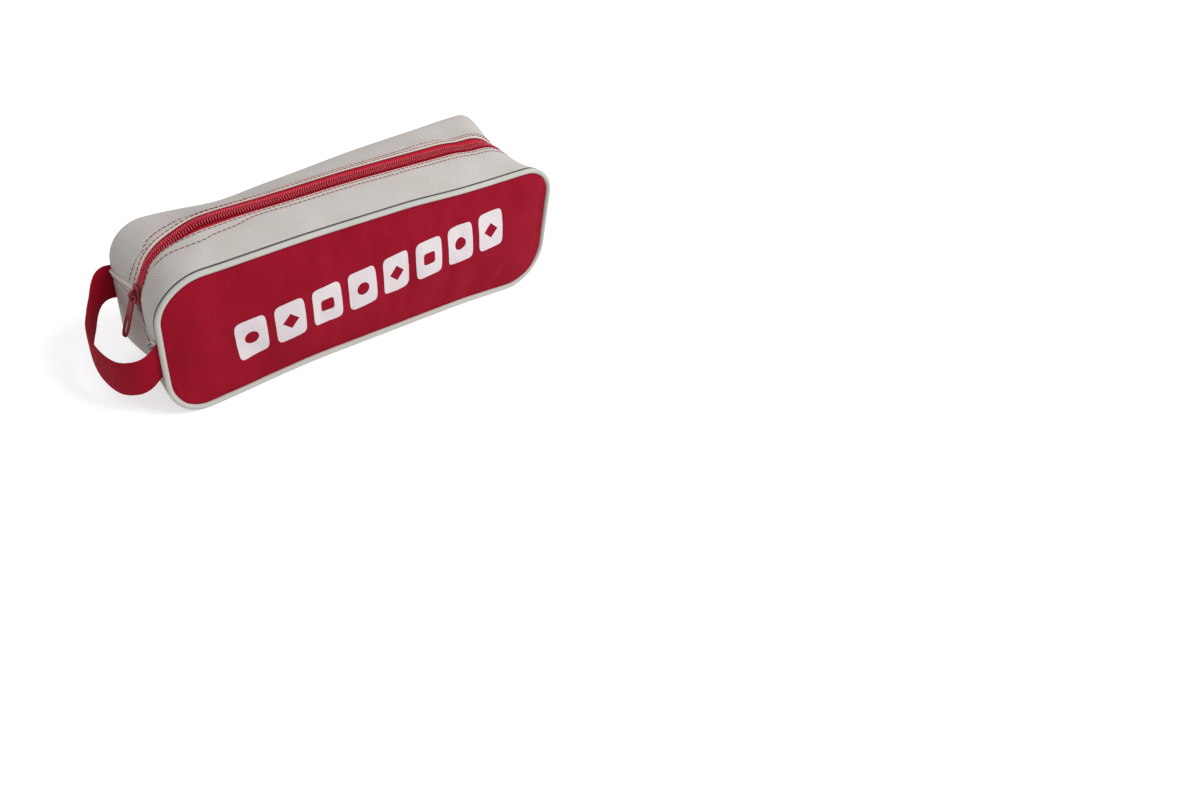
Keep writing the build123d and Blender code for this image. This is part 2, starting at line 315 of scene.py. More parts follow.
def drawn_to_zip(side, station, y):
    """Where y comes to lie: the cloth beside the zip is drawn together down an end.

    The zip's chain stays as wide as it is, and the pull fades towards the side seams.
    """
    out = abs(y)
    share = clamp((out - 2.8 * mm) / (4.6 * mm)) * (1 - ramp(out, 10 * mm, 26 * mm))
    shifted = y - math.copysign(zip_pull[side] * share * ramp(station, *pull_stretch[side]), y)
    if side == left:
        shifted -= sum(shift * bell(station, *place) for shift, *place in front_shifts) * mm * share
    return shifted


def case_point(side, station, y, lift=0.0):
    """Place on the settled case, lifted out of its cloth."""
    point, out = outline_at(side, station, y)
    way = zip_way(y)
    swell = 1.3 * mm if y < 0 else 0.8 * mm
    if side == right and y < 0:
        swell -= 2.8 * mm * ramp(station, 0.8, 0.4) * ramp(station, 2.6, -0.8)
    swell *= math.sin(math.pi * way) * ramp(station, 3.9, -0.9)
    beside_zip = 0.7 * mm * ramp(way, 0.6, 0.4) * ramp(y, 0, zip_edge[rear])
    point.y = drawn_to_zip(side, station, y)
    return settled(point + out * (lift + swell + beside_zip * ramp(station, 2.6, -0.6)))


def case_frame(side, station, y, lift=0.0):
    """Frame on the case: x along the outline, y across it, z out of the cloth."""
    here = case_point(side, station, y, lift)
    along = (case_point(side, station + 0.01, y, lift) - here).normalized()
    across = case_point(side, station, y + 0.2 * mm, lift) - here
    out = (along.cross(across) * side).normalized()
    across = out.cross(along)
    turn = Matrix((along, across, out)).transposed()
    return Matrix.Translation(here) @ turn.to_4x4()


# --- Making pieces ---


def new_piece(name, bm, material):
    """Turn a bmesh into an object of the scene."""
    mesh = bpy.data.meshes.new(name)
    for face in bm.faces:
        face.smooth = True
    bm.to_mesh(mesh)
    bm.free()
    mesh.materials.append(material)
    piece = bpy.data.objects.new(name, mesh)
    bpy.context.collection.objects.link(piece)
    return piece


def lengths_along(line):
    """Distance of each vertex of a line from its first one."""
    lengths = [0.0]
    for before, after in zip(line, line[1:]):
        lengths.append(lengths[-1] + (after.co - before.co).length)
    return lengths


def laid_sheet(columns, rows, place, inside=None, edge_highlight_and_shade=None):
    """Grid of cloth with its crossings at place(column, row) and its UV in metres.

    Its faces look away from the point inside. The last argument gives, at (column, row), an edge mask
    that is 1 where the cloth has its edge colour: a painted highlight on the grey cloth's folds and painted
    shade on the zip tape beside the hems.
    """
    bm = bmesh.new()
    edge_shading_layer = bm.verts.layers.float.new("edge_highlight_and_shade")
    last_column = len(columns) - 1
    last_row = len(rows) - 1
    bmesh.ops.create_grid(bm, x_segments=last_column, y_segments=last_row, size=0.5)
    crossing = {}
    for vert in bm.verts:
        column = round((vert.co.x + 0.5) * last_column)
        row = round((vert.co.y + 0.5) * last_row)
        crossing[column, row] = vert
    for (column, row), vert in crossing.items():
        vert.co = place(columns[column], rows[row])
    along = lengths_along([crossing[column, last_row // 2] for column in range(last_column + 1)])
    across = lengths_along([crossing[last_column // 2, row] for row in range(last_row + 1)])
    flat = {vert: (along[column], across[row]) for (column, row), vert in crossing.items()}
    uv = bm.loops.layers.uv.new("cloth")
    for face in bm.faces:
        for loop in face.loops:
            loop[uv].uv = flat[loop.vert]
    if edge_highlight_and_shade is not None:
        for (column, row), vert in crossing.items():
            vert[edge_shading_layer] = edge_highlight_and_shade(columns[column], rows[row])
    for edge in bm.edges:
        edge.smooth = not edge.is_boundary
    if inside is not None:
        bm.normal_update()
        facing = sum((face.calc_center_median() - inside).dot(face.normal) for face in bm.faces)
        if facing < 0:
            bmesh.ops.reverse_faces(bm, faces=bm.faces)
    return bm


def thicken(piece, thickness):
    """Give a sheet its thickness, on its inner side."""
    layer = piece.modifiers.new("thickness", "SOLIDIFY")
    layer.thickness = thickness
    layer.offset = -1.0


def sewn_sheet(piece):
    """Work out the flat size that a sewn sheet's UV map holds, in metres; nothing uses it."""
    lengthwise, crosswise = zip(*(corner.uv for corner in piece.data.uv_layers["cloth"].data))
    length = max(lengthwise) - min(lengthwise)
    width = max(crosswise) - min(crosswise)


def joined(shapes):
    """One bmesh from many placed copies: shapes gives (mesh, matrix) pairs."""
    bm = bmesh.new()
    for mesh, matrix in shapes:
        start = len(bm.verts)
        bm.from_mesh(mesh)
        bm.verts.ensure_lookup_table()
        bmesh.ops.transform(bm, matrix=matrix, verts=bm.verts[start:])
    return bm


def template(bm):
    """Mesh to be copied into a piece by joined()."""
    mesh = bpy.data.meshes.new("template")
    bm.to_mesh(mesh)
    bm.free()
    return mesh


# --- Materials ---


def srgb(red, green, blue):
    """Linear colour from screen values of 0 to 255."""

    def linear(value):
        value /= 255
        return value / 12.92 if value <= 0.04045 else ((value + 0.055) / 1.055) ** 2.4

    return (linear(red), linear(green), linear(blue), 1.0)


def blank_material(name, roughness):
    material = bpy.data.materials.new(name)
    material.use_nodes = True
    shader = material.node_tree.nodes["Principled BSDF"]
    shader.inputs["Roughness"].default_value = roughness
    return material, material.node_tree.nodes, material.node_tree.links, shader


def noise_over(nodes, links, scale, detail=2):
    """Cloudy pattern over the object, 0 to 1."""
    place = nodes.new("ShaderNodeTexCoord")
    cloud = nodes.new("ShaderNodeTexNoise")
    cloud.inputs["Scale"].default_value = scale
    cloud.inputs["Detail"].default_value = detail
    links.new(place.outputs["Object"], cloud.inputs["Vector"])
    return cloud.outputs["Fac"]


def blotches(nodes, links, dark, light, size):
    """Slow change between two shades over the object."""
    shades = nodes.new("ShaderNodeValToRGB")
    for stop, position, colour in zip(shades.color_ramp.elements, (0.3, 0.7), (dark, light)):
        stop.position = position
        stop.color = colour
    links.new(noise_over(nodes, links, 1 / size, detail=4), shades.inputs["Fac"])
    return shades.outputs["Color"]


def worked_out(nodes, links, operation, *values):
    """Arithmetic node on values that are numbers or outputs of other nodes."""
    node = nodes.new("ShaderNodeMath")
    node.operation = operation
    for socket, value in zip(node.inputs, values):
        if isinstance(value, float):
            socket.default_value = value
        else:
            links.new(value, socket)
    return node.outputs[0]


def add_relief(nodes, links, shader, height, strength, depth):
    """Let a pattern's height catch the light."""
    bump = nodes.new("ShaderNodeBump")
    bump.inputs["Strength"].default_value = strength
    bump.inputs["Distance"].default_value = depth
    links.new(height, bump.inputs["Height"])
    links.new(bump.outputs["Normal"], shader.inputs["Normal"])


def threads(nodes, links, uv, pitch, angle):
    """Height of one set of parallel threads, 0 to 1, lying at an angle on the cloth."""
    turn = nodes.new("ShaderNodeMapping")
    turn.inputs["Rotation"].default_value = (0, 0, math.radians(angle))
    wave = nodes.new("ShaderNodeTexWave")
    wave.wave_profile = "SIN"
    # One wave of this texture is 2 pi / 20 long at a scale of 1
    wave.inputs["Scale"].default_value = math.pi / 10 / pitch
    wave.inputs["Distortion"].default_value = 0.0
    links.new(uv, turn.inputs["Vector"])
    links.new(turn.outputs["Vector"], wave.inputs["Vector"])
    return wave.outputs["Fac"]


def painted_edge_colour(nodes, links, colour, edge):
    """Mix a colour towards the edge colour by the edge mask: a painted highlight on the grey cloth's folds,
    painted shade on the zip tape beside the hems.
    """
    edge_highlight_and_shade = nodes.new("ShaderNodeAttribute")
    edge_highlight_and_shade.attribute_name = "edge_highlight_and_shade"
    edge_shading_mix = nodes.new("ShaderNodeMixRGB")
    edge_shading_mix.inputs["Color2"].default_value = edge
    links.new(edge_highlight_and_shade.outputs["Fac"], edge_shading_mix.inputs["Fac"])
    links.new(colour, edge_shading_mix.inputs["Color1"])
    return edge_shading_mix.outputs["Color"]


def cloth_material(
    name, dark, light, pitch, angles, relief, contrast, gloss=0.2, edge=None, second_set=0.45
):
    """Woven cloth: two sets of threads, shaded in their gaps, over slow blotches.

    Second_set says how deep the second set is: low for twill, high for plain weave.
    """
    material, nodes, links, shader = blank_material(name, 0.8)
    shader.inputs["Specular IOR Level"].default_value = gloss
    uv = nodes.new("ShaderNodeUVMap")
    uv.uv_map = "cloth"
    first, second = [threads(nodes, links, uv.outputs["UV"], pitch, angle) for angle in angles]
    crossing = worked_out(nodes, links, "MULTIPLY_ADD", second, second_set, 1 - second_set)
    weave = worked_out(nodes, links, "MULTIPLY", first, crossing)
    gaps = worked_out(nodes, links, "SUBTRACT", 1.0, weave)
    base = blotches(nodes, links, dark, light, 25 * mm)
    # The edge colour is painted light: a painted highlight on folds and painted shade beside hems.
    if edge is not None:
        base = painted_edge_colour(nodes, links, base, edge)
    shade = nodes.new("ShaderNodeMixRGB")
    shade.blend_type = "MULTIPLY"
    shade.inputs["Color2"].default_value = (1 - contrast, 1 - contrast, 1 - contrast, 1)
    links.new(gaps, shade.inputs["Fac"])
    links.new(base, shade.inputs["Color1"])
    links.new(shade.outputs["Color"], shader.inputs["Base Color"])
    add_relief(nodes, links, shader, weave, 0.6, relief)
    return material


def grained_material(name, dark, light, size, roughness, coat=0.0):
    """Smooth stuff with slow blotches and a fine grain."""
    material, nodes, links, shader = blank_material(name, roughness)
    shader.inputs["Coat Weight"].default_value = coat
    links.new(blotches(nodes, links, dark, light, size), shader.inputs["Base Color"])
    grain = noise_over(nodes, links, 1 / (0.4 * mm))
    add_relief(nodes, links, shader, grain, 0.4, 0.02 * mm)
    return material


twill_angles = (-48, 42)
grey_angles = (40, -50)
red_cloth = cloth_material(
    "red_twill", srgb(176, 10, 42), srgb(190, 18, 52), 1.25 * mm, twill_angles, 0.2 * mm, 0.6, gloss=0.12
)
# Its edge colour is a painted highlight where the folds catch the light.
grey_cloth = cloth_material(
    "grey_cloth", srgb(212, 205, 199), srgb(221, 216, 211), 1.4 * mm, grey_angles, 0.1 * mm, 0.22,
    edge=srgb(248, 230, 220), second_set=1.0,
)
piping_cloth = cloth_material(
    "piping_cloth", srgb(198, 197, 191), srgb(208, 207, 202), 0.8 * mm, (45, -45), 0.04 * mm, 0.1
)
# Its edge colour is painted shade where the tape goes under the hems.
tape_cloth = cloth_material(
    "zip_tape", srgb(196, 16, 44), srgb(208, 24, 54), 1.0 * mm, (0, 90), 0.08 * mm, 0.2,
    edge=srgb(84, 2, 20),
)
# Dark red so that the gaps between the coil's turns look shaded: painted shade
cord_and_gap_shade_cloth = cloth_material(
    "zip_cord_and_gap_shade", srgb(112, 6, 28), srgb(130, 10, 36), 0.8 * mm, (30, -30), 0.08 * mm, 0.3
)
webbing_cloth = cloth_material(
    "webbing", srgb(174, 8, 38), srgb(188, 14, 48), 1.3 * mm, (30, -30), 0.25 * mm, 0.5, gloss=0.12
)
binding_cloth = cloth_material(
    "binding_tape", srgb(178, 174, 166), srgb(190, 186, 178), 0.9 * mm, (0, 90), 0.1 * mm, 0.2
)
coil_nylon = grained_material("zip_nylon", srgb(184, 16, 44), srgb(208, 36, 64), 3 * mm, 0.45)
red_thread = grained_material("red_thread", srgb(84, 48, 48), srgb(178, 52, 70), 7 * mm, 0.7)
# Dark grey thread of the end stitches, and painted shade for the cord in each side seam's groove
grey_thread_and_seam_shade = grained_material("grey_thread_and_seam_shade", srgb(56, 58, 58), srgb(80, 82, 80), 8 * mm, 0.7)
white_print = cloth_material(
    "white_print", srgb(226, 216, 220), srgb(236, 228, 230), 1.25 * mm, twill_angles, 0.06 * mm, 0.08
)
slider_paint = grained_material("slider_paint", srgb(126, 4, 22), srgb(148, 10, 32), 5 * mm, 0.45, coat=0.1)


# --- Pieces ---


def seam_rows():
    """Distances from a side seam, closest where the cloth turns over it."""
    return [0, 0.08 * mm, 0.25 * mm, 0.5 * mm, 0.85 * mm, 1.3 * mm, 1.9 * mm, 2.6 * mm, 3.4 * mm]


def strip_width(face):
    return seam_y - zip_edge[face] - fold_radius


def strip_rows(face):
    """Distances across an upper strip from its side seam, closer at the seam and the hem."""
    width = strip_width(face)
    flat = seam_rows() + spaced(3.4 * mm, width - 9 * mm, 1.6 * mm)[1:]
    hem = spaced(width - 9 * mm, width, 0.45 * mm)[1:]
    turn = spaced(width, width + math.pi * fold_radius, 0.3 * mm)[1:]
    under = spaced(width + math.pi * fold_radius, width + hem_width, 1.5 * mm)[1:]
    return flat + hem + turn + under


def outer_row_gap(face, along):
    """Distance of the outer row of stitches from the fold: it wanders, as sewn by eye."""
    gap, steps, bumps = outer_row[face]
    gap += sum(change * ramp(along / mm, *stretch) for change, *stretch in steps)
    gap += sum(change * bell(along / mm, *place) for change, *place in bumps)
    return (gap + 0.5 * ripple(along, face * 30 * mm, 0, size=24 * mm)) * mm


def hem_shape(face, along, distance):
    """Place y and lift of a strip, at a distance across it from its side seam.

    Beside the fold it swells and puckers, sinks at its two rows of stitches, and
    past the fold it lies under itself.
    """
    width = strip_width(face)
    turned = distance - width
    edge = zip_edge[face]
    if turned <= 0:
        y = seam_y - distance
        from_edge = y - edge
        pucker = 0.3 * mm * math.sin(along / (2.3 * mm)) * ripple(along, face * 40 * mm, 0, size=14 * mm)
        sink = 0.2 * mm * bell(from_edge, inner_row_gap, 0.6 * mm)
        sink += 0.4 * mm * bell(from_edge, outer_row_gap(face, along), 0.8 * mm)
        swell = 0.25 * mm * bell(from_edge, 3.2 * mm, 1.2 * mm)
        lift = swell + pucker * bell(from_edge, 4 * mm, 4 * mm) - sink
    elif turned <= math.pi * fold_radius:
        angle = turned / fold_radius
        y = edge + fold_radius - fold_radius * math.sin(angle)
        lift = -fold_radius + fold_radius * math.cos(angle)
    else:
        y = edge + fold_radius + turned - math.pi * fold_radius
        lift = -2 * fold_radius
    return face * y, lift


def strip_columns():
    """Columns of an upper strip, from 0 at the middle of the top to 3 at its end."""
    straight = [step / 56 for step in range(56)]
    corner = [1 + step / 36 for step in range(36)]
    end = [2 + step / 6 for step in range(7)]
    return straight + corner + end


def strip_station(side, column, y):
    """Station of a strip's column: its end tucks under the lower gusset."""
    straight = 1.6
    if column <= straight:
        return column
    return mix(straight, end_station(side, y) + 0.09, (column - straight) / (3 - straight))


def tuck(column):
    """How far a strip's end dips to go under the lower gusset."""
    return 0.9 * mm * ramp(column, 2.7, 0.3)


def closed_hem(face, side, station, y):
    """Where a strip's y comes to lie: the front one closes over the zip at the left end."""
    if face == rear or side == right:
        return y
    reach = closing_reach * ramp(station, *closing_stretch)
    return y + reach * bell(y, -zip_edge[front], closing_width)


def along_top(side, column):
    """Signed distance along a strip from the middle of the top, roughly."""
    return side * (column * 100 * mm if column <= 1 else (100 + (column - 1) * 66) * mm)


def upper_strip(face, side):
    """Half of the cloth strip between a side seam and the zip, hemmed at the zip."""

    def place(column, distance):
        y, lift = hem_shape(face, along_top(side, column), distance)
        y = closed_hem(face, side, strip_station(side, column, y), y)
        station = strip_station(side, column, y)
        if distance < strip_width(face):
            lift -= seam_depth(station, y)
        return case_point(side, station, y, lift - tuck(column))

    # Painted highlight along the fold beside the zip
    def edge_highlight_and_shade(column, distance):
        return 0.8 * bell(distance, strip_width(face) + 0.2 * mm, 0.9 * mm)

    bm = laid_sheet(strip_columns(), strip_rows(face), place, middle, edge_highlight_and_shade)
    piece = new_piece(f"{face_names[face]}_strip_{end_names[side]}", bm, grey_cloth)
    thicken(piece, cloth_thickness)
    sewn_sheet(piece)
    mouth_blend(piece, face, side)
    return piece


def mouth_blend(piece, face, side):
    """Bake a piece's placement into its mesh."""
    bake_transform(piece)


def end_stretch(side, y):
    """Length of the outline between its upper and lower corner."""
    _, top, upper, lower = outline_sizes(side, y)
    return top - upper - lower


def end_fold(distance):
    """Lift of the lower gusset's upper edge: folded, laid over the strips and sewn twice."""
    roll = 1.0 * mm * math.sin(math.pi * clamp(distance / (2.1 * mm))) ** 0.7
    layer = 0.55 * mm * ramp(distance, 0, 1 * mm) * (1 - ramp(distance, 4.9 * mm, 1.6 * mm))
    rows = bell(distance, end_rows[0], 0.45 * mm) + bell(distance, end_rows[1], 0.5 * mm)
    return roll + layer - 0.4 * mm * rows


def base_station(side, share, y):
    """Station on the lower gusset, share 0 at the end seam and 1 at the lower corner."""
    start = end_station(side, y)
    return start + share * (3 - start)


def base_gusset():
    """The lower gusset, one piece from the left end seam under the case to the right one."""
    fold = [share / 100 for share in (0, 1, 2.2, 3.5, 5, 6.5, 8, 10, 13, 16, 18, 20, 22, 25, 29)]
    down = fold + spaced(0.29, 1, 0.08)[1:]
    corner = [3 + step / 20 for step in range(1, 21)]
    flat = [4 + step / 40 for step in range(1, 40)]
    half = [(share, None) for share in down] + [(None, station) for station in corner + flat]
    columns = [(left, *place) for place in half] + [(left, None, 5.0)]
    columns += [(right, *place) for place in reversed(half)]
    edge = [seam_y - distance for distance in seam_rows()]
    rows = [-y for y in edge] + spaced(-edge[-1], edge[-1], 2 * mm)[1:-1] + list(reversed(edge))

    def place(column, y):
        side, share, station = column
        lift = 0.0
        if share is not None:
            station = base_station(side, share, y)
            lift = end_fold((station - end_station(side, y)) * end_stretch(side, y))
        lift = lift * ramp(seam_y - abs(y), 0, 1.5 * mm) - seam_depth(station, y)
        return case_point(side, station, y, lift)

    # Painted highlight along the folded edge at each end seam
    def edge_highlight_and_shade(column, y):
        side, share, _ = column
        return 0.0 if share is None else 0.7 * bell(share * end_stretch(side, y), 1 * mm, 1 * mm)

    piece = new_piece("base_gusset_cloth", laid_sheet(columns, rows, place, middle, edge_highlight_and_shade), grey_cloth)
    thicken(piece, cloth_thickness)
    sewn_sheet(piece)
    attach(piece, "case_body")
    return piece


def end_stitches(side):
    """Two rows of stitches across an end, below the folded edge."""

    def spot(gap, y):
        from_fold = gap + 0.25 * mm * ripple(y, gap, 0, size=9 * mm)
        station = end_station(side, y) + from_fold / end_stretch(side, y)
        return case_frame(side, station, y, end_fold(gap) + end_stitch_lift)

    shapes = []
    row_end = seam_y - 2 * mm
    near = 0.5 * mm
    for gap in end_rows:
        y = -row_end
        while y < row_end:
            here = spot(gap, y)
            along = (spot(gap, y + near).translation - here.translation) / near
            turn = along.to_track_quat("X", "Z").to_matrix()
            out = here.to_3x3().col[2]
            turn.col[1] = out.cross(along).normalized()
            turn.col[2] = turn.col[0].cross(turn.col[1])
            shapes.append((stitch_mesh, Matrix.Translation(here.translation) @ turn.to_4x4()))
            y += stitch_pitch / along.length
    piece = new_piece(f"{end_names[side]}_end_stitches", joined(shapes), grey_thread_and_seam_shade)
    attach(piece, "case_body")


def end_binding(side):
    """Tape over the raw edges of an end seam, inside the case."""

    def place(share, y):
        station = end_station(side, y) + share * 9 * mm / end_stretch(side, y)
        return case_point(side, station, y, -2.4 * mm + 0.3 * mm * math.sin(math.pi * share))

    bm = laid_sheet(spaced(0, 1, 0.125), spaced(-27 * mm, 27 * mm, 2 * mm), place, middle)
    piece = new_piece(f"{end_names[side]}_end_tape", bm, binding_cloth)
    thicken(piece, 0.7 * mm)
    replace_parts(piece, f"{end_names[side]}_end_binding")
    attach(piece, "case_body")


def panel_place(face, x_share, z_share):
    """Place in the panel's plane: shares run from -1 to 1, corners are rounded."""
    under_bead = 2.6 * mm
    inset = under_bead + seam_sink[face]
    half_x = half_length - inset
    half_z = (case_height - inset - under_bead) / 2
    x = x_share * half_x
    z = z_share * half_z
    side = left if x < 0 else right
    radius = (upper_seam_radius[face, side] if z > 0 else lower_radius[side]) - inset
    over_x = (abs(x) - (half_x - radius)) / radius
    over_z = (abs(z) - (half_z - radius)) / radius
    if over_x > 0 and over_z > 0:
        round_x = over_x * math.sqrt(1 - over_z ** 2 / 2)
        round_z = over_z * math.sqrt(1 - over_x ** 2 / 2)
        x = math.copysign(half_x - radius + round_x * radius, x)
        z = math.copysign(half_z - radius + round_z * radius, z)
    return x, z + under_bead + half_z


def swell_cloth(piece, push, most):
    """Blow a sheet up a little between its sewn edges, moving no point by more than most."""
    mesh = piece.data
    start = [vert.co.copy() for vert in mesh.vertices]
    rim = {number for edge in mesh.edges if edge.use_edge_sharp for number in edge.vertices}
    pinned = piece.vertex_groups.new(name="sewn edge")
    pinned.add(list(rim), 1.0, "REPLACE")
    cloth = piece.modifiers.new("cloth", "CLOTH")
    settings = cloth.settings
    settings.vertex_group_mass = pinned.name
    settings.quality = 6
    settings.mass = 0.2
    settings.tension_stiffness = 12
    settings.compression_stiffness = 12
    settings.shear_stiffness = 4
    settings.bending_stiffness = 0.6
    settings.shrink_min = -0.006
    settings.use_pressure = True
    settings.uniform_pressure_force = push
    settings.effector_weights.gravity = 0
    scene = bpy.context.scene
    for frame_number in range(1, 21):
        scene.frame_set(frame_number)
    settled_piece = piece.evaluated_get(bpy.context.evaluated_depsgraph_get())
    end = [vert.co.copy() for vert in settled_piece.data.vertices]
    piece.modifiers.remove(cloth)
    scene.frame_set(1)
    for vert, before, after in zip(mesh.vertices, start, end):
        shift = after - before
        if shift.length > most:
            shift *= most / shift.length
        vert.co = before + shift


def panel(face):
    """Cloth panel inside the piping, blown out a little by what the case holds."""
    columns = spaced(-1, 1, 2.6 * mm / half_length)
    rows = spaced(-1, 1, 2.6 * mm / (case_height / 2))

    def place(x_share, z_share):
        x, z = panel_place(face, x_share, z_share)
        from_edge = min((1 - abs(x_share)) * half_length, (1 - abs(z_share)) * case_height / 2)
        bulge = 1.4 * mm * (1 - math.exp(-from_edge / (7 * mm)))
        bulge -= 0.5 * mm * (1 - ramp(from_edge, 0, 2 * mm))
        return settled(Vector((x, face * (piping_y + bulge), z)))

    bm = laid_sheet(columns, rows, place, middle)
    piece = new_piece(f"{face_names[face]}_panel_cloth", bm, red_cloth)
    swell_cloth(piece, push=1.2 if face == rear else 1.0, most=3.0 * mm)
    mesh = piece.data
    surface = BVHTree.FromPolygons(
        [vert.co for vert in mesh.vertices], [polygon.vertices for polygon in mesh.polygons]
    )
    thicken(piece, cloth_thickness)
    sewn_sheet(piece)
    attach(piece, "case_body")
    return piece, surface


def loop_columns(straight, corner, end):
    """Stations all the way round the outline, as (side, station)."""
    counts = (straight, corner, end, corner, straight)
    half = [number + step / count for number, count in enumerate(counts) for step in range(count)]
    return [(left, station) for station in half] + [(left, 5.0)] + [
        (right, station) for station in reversed(half)
    ]


def ring_piece(name, face, section, material):
    """Closed band all the way round beside a side seam.

    Section: (beyond the seam, out of the outline) pairs, beyond is towards the panel.
    """

    def place(column, number):
        side, station = column
        beyond, outwards = section[number % len(section)]
        point, out = outline_at(side, station, face * (seam_y + min(0.0, beyond)))
        point.y = face * (seam_y + beyond)
        drawn = seam_sink[face] * clear_of_base(station) * ramp(beyond, -5 * mm, 4 * mm)
        return settled(point + out * (outwards - drawn))

    bm = laid_sheet(loop_columns(90, 24, 14), list(range(len(section) + 1)), place)
    bmesh.ops.remove_doubles(bm, verts=bm.verts, dist=0.01 * mm)
    bmesh.ops.recalc_face_normals(bm, faces=bm.faces)
    piece = new_piece(name, bm, material)
    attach(piece, "case_body")
    return piece


def piping(face):
    """Cloth folded round the piping's cord, with a flange sewn into the seam."""
    flange = [-6.5 * mm, -3.5 * mm, -1 * mm]
    upper = [(beyond, -1.95 * mm) for beyond in flange]
    bead = []
    for angle in spaced(math.radians(170), math.radians(-170), math.radians(18)):
        beyond = piping_radius * (1 + math.cos(angle))
        bead.append((beyond, piping_radius * (math.sin(angle) - 1)))
    lower = [(beyond, -2.5 * mm) for beyond in reversed(flange)]
    piece = ring_piece(f"{face_names[face]}_piping_bead", face, upper + bead + lower, piping_cloth)
    return piece


def seam_tape(face):
    """Binding tape folded over the raw edges of a side seam, inside the case."""
    section = []
    for angle in spaced(0, 2 * math.pi, math.pi / 8)[:-1]:
        across = signed_power(math.cos(angle), 0.5) * 3.5 * mm
        through = signed_power(math.sin(angle), 0.6) * 0.95 * mm
        section.append((across - 5.6 * mm, through - 2.6 * mm))
    piece = ring_piece(f"{face_names[face]}_seam_tape", face, section, binding_cloth)
    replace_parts(piece, f"{face_names[face]}_seam_binding")


def seam_thread_and_shade(face):
    """Thin dark cord of thread in the groove between the piping and the gusset; its dark colour is painted
    shade for the groove.
    """
    section = []
    for angle in spaced(0, 2 * math.pi, math.pi / 4)[:-1]:
        section.append((0.45 * mm * math.cos(angle) - 0.5 * mm, 0.45 * mm * math.sin(angle) - 0.55 * mm))
    ring_piece(f"{face_names[face]}_seam_thread_and_shade", face, section, grey_thread_and_seam_shade)


def zip_tape(face, side):
    """Half of one zip tape, under the hem and open between the hems."""
    edge = zip_edge[face]
    rows = spaced(0, edge - 1.6 * mm, 1.2 * mm) + spaced(edge - 1.3 * mm, edge + 1.1 * mm, 0.3 * mm)
    rows += spaced(edge + 2 * mm, tape_width, 1.5 * mm)

    def place(column, y):
        station = strip_station(side, column, face * y)
        return case_point(side, station, face * y, -tape_depth - tuck(column))

    # Painted shade on the tape along the hem's edge, where it goes under the fold
    def edge_highlight_and_shade(column, y):
        return 0.85 * bell(y, edge, 0.9 * mm)

    bm = laid_sheet(strip_columns(), rows, place, middle, edge_highlight_and_shade)
    piece = new_piece(f"{face_names[face]}_zip_tape_{end_names[side]}", bm, tape_cloth)
    thicken(piece, tape_thickness)
    mouth_blend(piece, face, side)
    return piece


def coil_tooth(face, lean):
    """One turn of the coil, leaning along the chain, with its head past the chain's middle."""
    bm = bmesh.new()
    bmesh.ops.create_uvsphere(bm, u_segments=8, v_segments=5, radius=1)
    for vert in bm.verts:
        vert.co = Vector([signed_power(value, 0.7) for value in vert.co])
    bmesh.ops.scale(bm, vec=(0.5 * mm, 2.6 * mm, 0.85 * mm), verts=bm.verts)
    bmesh.ops.rotate(bm, matrix=Matrix.Rotation(-math.radians(lean), 3, "Z"), verts=bm.verts)
    bmesh.ops.translate(bm, vec=(0, face * 2.2 * mm, 0), verts=bm.verts)
    return template(bm)


tooth_meshes = {front: coil_tooth(front, 14), rear: coil_tooth(rear, 38)}


def chain_y(station):
    """The closed chain lies towards the front on the top and in the middle at the ends."""
    return -chain_shift * ramp(station, 1.9, -0.5)


def zip_coil(face, side):
    """One row of the coil's turns, from the middle of the top to where it stops at an end."""
    shapes = []
    distance = tooth_pitch * (0.25 if face == side else 0.75)
    last = zip_stop if side == left else end_station(side, 0)
    while True:
        station = station_at(side, distance, 0)
        if station > last:
            break
        place = case_frame(side, station, chain_y(station), -tape_depth + 0.7 * mm)
        shapes.append((tooth_meshes[face], place @ Matrix.Diagonal((side, side, 1, 1))))
        distance += tooth_pitch
    piece = new_piece(f"{face_names[face]}_zip_coil_{end_names[side]}", joined(shapes), coil_nylon)
    mouth_blend(piece, face, side)
    return piece


def zip_cord_and_gap_shade(face, side):
    """Cord that the coil's turns are wound round and sewn down with, coloured dark as painted shade for the
    gaps between the turns.
    """
    rows = [0, 0.6 * mm, 3.4 * mm, 4.3 * mm]

    def place(column, out_y):
        y = chain_y(column) + face * out_y
        station = strip_station(side, column, y)
        rise = 0.35 * mm if out_y < 4 * mm else -0.1 * mm
        return case_point(side, station, y, -tape_depth + rise - tuck(column))

    bm = laid_sheet(strip_columns(), rows, place, middle)
    piece = new_piece(f"{face_names[face]}_zip_cord_{end_names[side]}", bm, cord_and_gap_shade_cloth)
    thicken(piece, 0.3 * mm)
    mouth_blend(piece, face, side)


def stitch_shape():
    bm = bmesh.new()
    bmesh.ops.create_uvsphere(bm, u_segments=6, v_segments=5, radius=1)
    bmesh.ops.scale(bm, vec=stitch_half_size, verts=bm.verts)
    return template(bm)


stitch_mesh = stitch_shape()


def hem_stitches(face, side, outer):
    """A row of stitches along the hem beside the zip."""
    shapes = []
    distance = stitch_half_size[0]
    while True:
        along = side * distance
        gap = outer_row_gap(face, along)
        if not outer:
            gap = inner_row_gap + 0.15 * mm * ripple(along, 0, 0, size=9 * mm)
        y = face * (zip_edge[face] + gap)
        station = station_at(side, distance, y)
        if station > end_station(side, y) - 0.02:
            break
        _, lift = hem_shape(face, along, seam_y - abs(y))
        y = closed_hem(face, side, station, y)
        shapes.append((stitch_mesh, case_frame(side, station, y, lift + hem_stitch_lift)))
        distance += stitch_pitch
    word = "outer" if outer else "inner"
    piece = new_piece(f"{face_names[face]}_{word}_stitches_{end_names[side]}", joined(shapes), red_thread)
    mouth_blend(piece, face, side)


